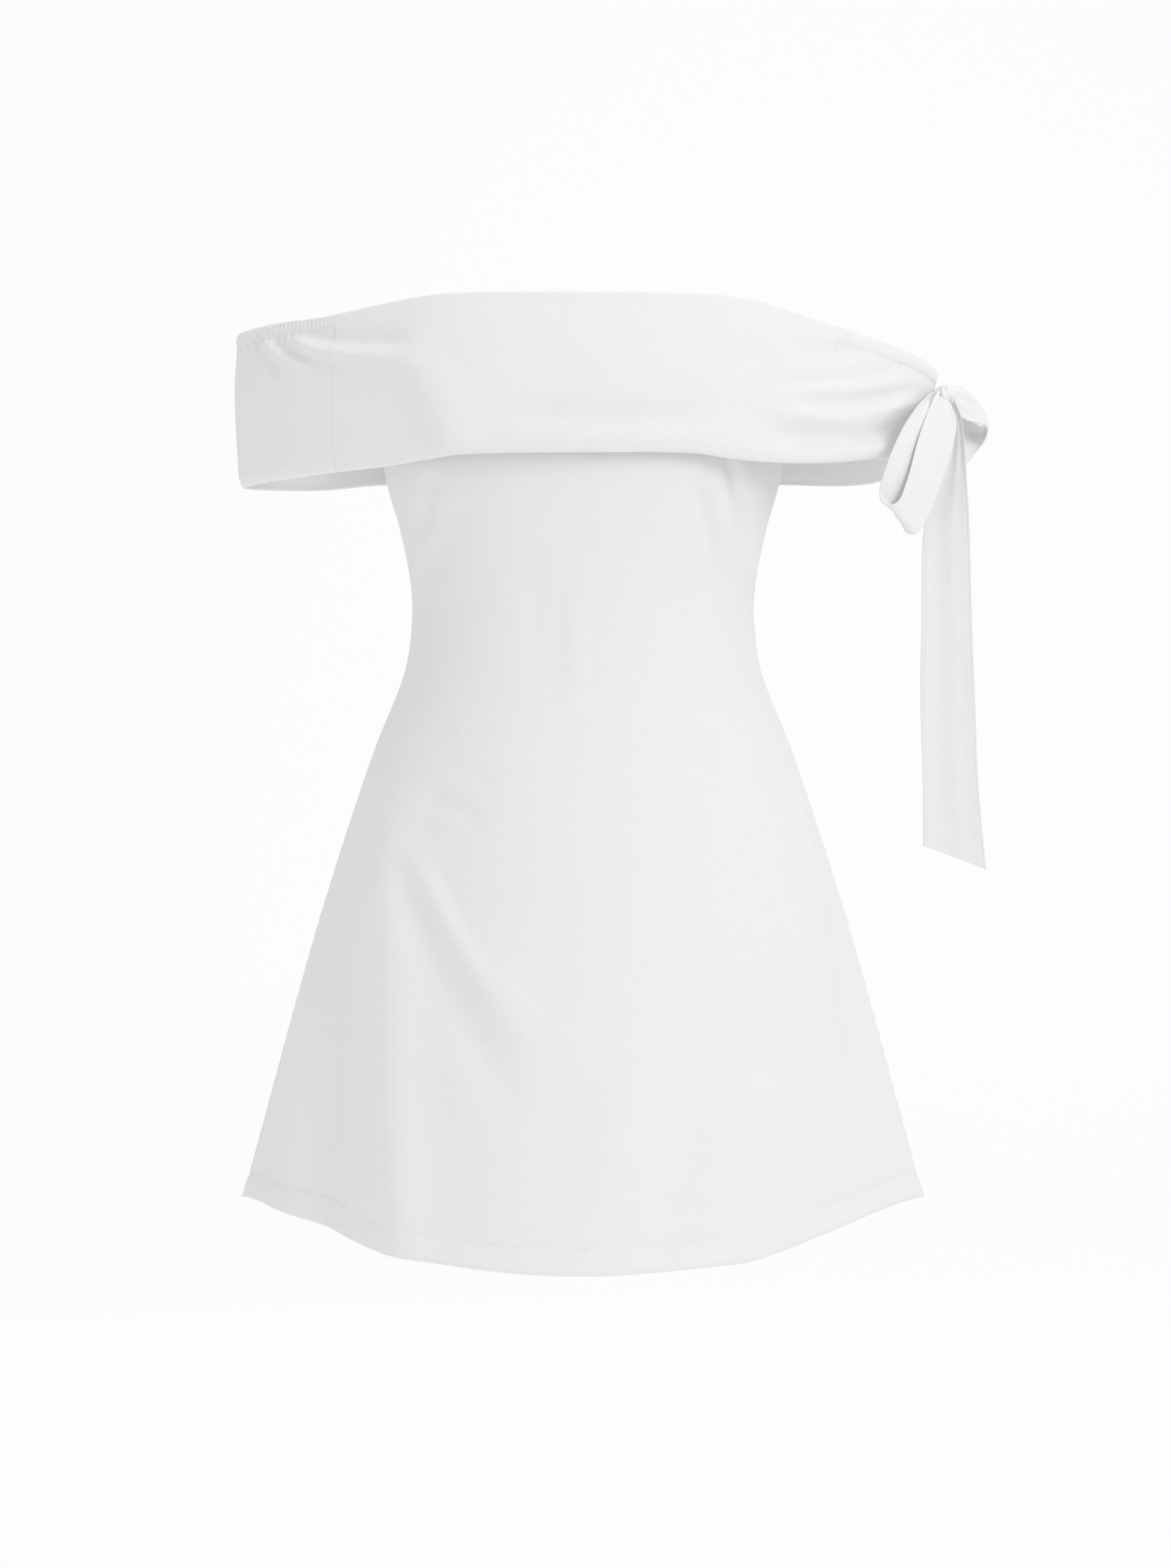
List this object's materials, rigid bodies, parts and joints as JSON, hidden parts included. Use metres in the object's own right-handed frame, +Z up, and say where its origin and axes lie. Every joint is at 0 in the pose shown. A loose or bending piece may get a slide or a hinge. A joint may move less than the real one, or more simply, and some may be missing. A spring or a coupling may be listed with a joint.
{
  "type": "off-shoulder dress",
  "caption": "Flared off-shoulder mini dress of white jersey, filled out, with a wide folded collar, elastic shoulders and a tied bow at the wearer's left.",
  "frame": {"origin": "centre of the torso hollow at the bust line, 80 mm under the top of the collar's front, where the wearer's chest holds the dress", "axes": "+Z up, from the hem to the neckline; the front faces -Y; +X is the wearer's left, the side of the bow"},
  "size_m": [0.5929, 0.323, 0.7068],
  "materials": {
    "body_cloth": "matt, smooth thick jersey with a fine knit grain",
    "collar_cloth": "matt, smooth thick jersey folded double",
    "tie_cloth": "matt, smooth jersey strip, pressed"
  },
  "bodies": {
    "root": {"dress_front": "body_cloth", "dress_back": "body_cloth", "collar_front": "collar_cloth", "collar_back": "collar_cloth", "shoulder_elastic_right": "collar_cloth", "shoulder_elastic_left": "collar_cloth", "tie_knot": "tie_cloth", "tie_front_loop": "tie_cloth", "tie_back_loop": "tie_cloth", "tie_front_tail": "tie_cloth", "tie_back_tail": "tie_cloth"}
  },
  "joints": []
}
